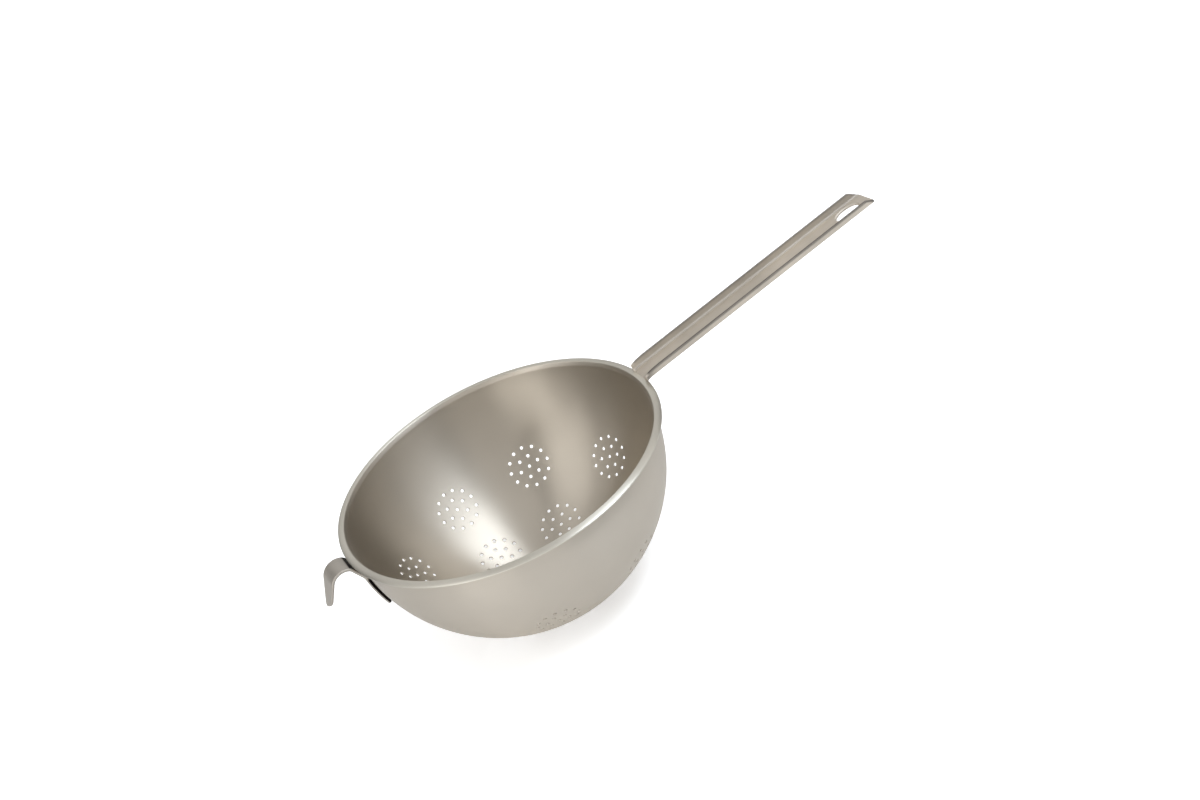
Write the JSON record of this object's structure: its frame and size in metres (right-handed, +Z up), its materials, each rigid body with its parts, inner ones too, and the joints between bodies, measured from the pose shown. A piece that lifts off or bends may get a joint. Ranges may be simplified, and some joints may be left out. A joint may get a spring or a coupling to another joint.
{
  "type": "colander",
  "caption": "Hemispherical steel colander with a turned-out lip, rosettes of drain holes, a long channel handle with a hanging hole, and a bent hook that rests on a pot or sink edge.",
  "frame": {"origin": "centre of the flat base of the bowl", "axes": "+Z up out of the bowl, +X along the handle from the bowl to its end, -X towards the hook"},
  "size_m": [0.4685, 0.24, 0.1412],
  "materials": {
    "bowl_steel": "spun satin, brushed in circles",
    "handle_steel": "satin, brushed lengthwise",
    "hook_steel": "satin, brushed lengthwise",
    "weld_steel": "dull weld bead"
  },
  "bodies": {
    "root": {"bowl": "bowl_steel", "handle": "handle_steel", "hook": "hook_steel", "handle_weld": "weld_steel"}
  },
  "joints": []
}
